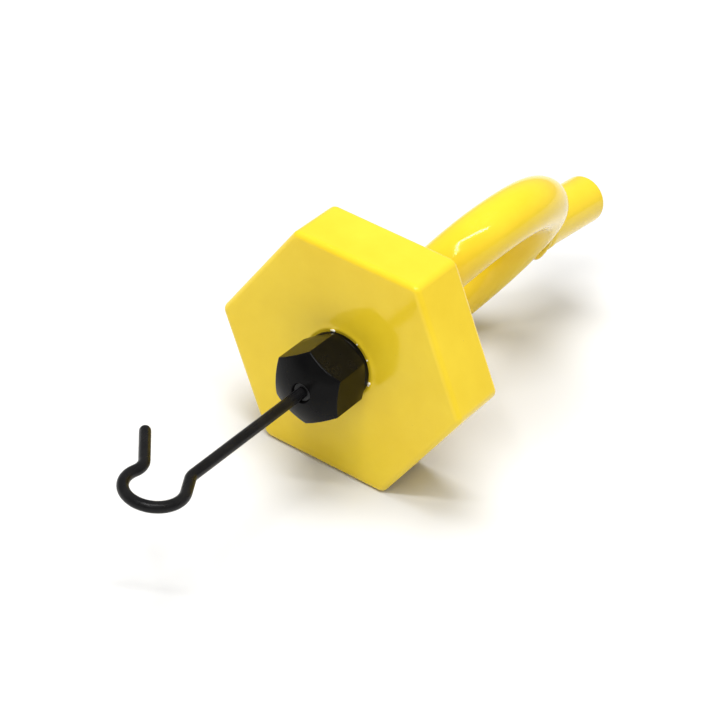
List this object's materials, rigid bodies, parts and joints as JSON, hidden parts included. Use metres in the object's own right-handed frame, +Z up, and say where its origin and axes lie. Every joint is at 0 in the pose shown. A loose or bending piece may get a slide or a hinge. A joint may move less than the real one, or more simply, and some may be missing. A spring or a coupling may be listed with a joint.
{
  "type": "hook pull tool",
  "caption": "Thick hexagonal plate with a domed nut and swivelling wire hook in front, and a round-bar eye with a tail stud behind.",
  "frame": {"origin": "centre of the hexagonal plate's front face, on the shank's axis", "axes": "+X along the shank towards the wire hook, +Y to the right seen from the hook, +Z up, square to the flat that the tool lies on"},
  "size_m": [0.2047, 0.0728, 0.0636],
  "materials": {
    "yellow_enamel": "glossy yellow enamel, softly pitted",
    "black_oxide": "satin black oxide, oiled",
    "black_wire": "semi-gloss black coated wire",
    "black_nylon": "moulded black nylon",
    "rubber_pad": "black rubber",
    "brass_sleeve": "drawn brass",
    "plain_steel": "turned steel",
    "spring_steel": "drawn spring wire"
  },
  "bodies": {
    "frame": {"hex_plate": "yellow_enamel", "shank": "yellow_enamel", "eye_ring": "yellow_enamel", "tail_stud": "yellow_enamel", "plate_weld": "yellow_enamel", "neck_weld": "yellow_enamel", "tail_weld": "yellow_enamel", "base_washer": "black_oxide", "bore_sleeve": "brass_sleeve", "buffer_pad": "rubber_pad"},
    "nut_slide": {"thrust_washer": "plain_steel", "wire_seal": "rubber_pad"},
    "nut": {"nut": "black_oxide", "nose_bush": "black_nylon"},
    "puller": {"spring_seat": "plain_steel", "hook_spring": "spring_steel"},
    "hook": {"hook_wire": "black_wire", "stop_collar": "plain_steel", "collar_pin": "plain_steel"}
  },
  "joints": [
    {"name": "nut_travel", "type": "slide", "parent": "frame", "child": "nut_slide", "axis": [1, 0, 0], "range_m": [0, 0.00726]},
    {"name": "nut_turn", "type": "hinge", "parent": "nut_slide", "child": "nut", "pos_m": [0, 0, 0], "axis": [1, 0, 0], "range_deg": [0, 1440]},
    {"name": "hook_pull", "type": "slide", "parent": "frame", "child": "puller", "axis": [1, 0, 0], "range_m": [0, 0.006], "stiffness_N_per_m": 600, "springref_m": -0.004, "deforming": ["hook_spring"]},
    {"name": "hook_swivel", "type": "hinge", "parent": "puller", "child": "hook", "pos_m": [0, 0, 0], "axis": [1, 0, 0], "continuous": true}
  ],
  "couplings": [
    {"joint": "nut_travel", "follows": "nut_turn", "m_per_rad": 0.00028875}
  ]
}
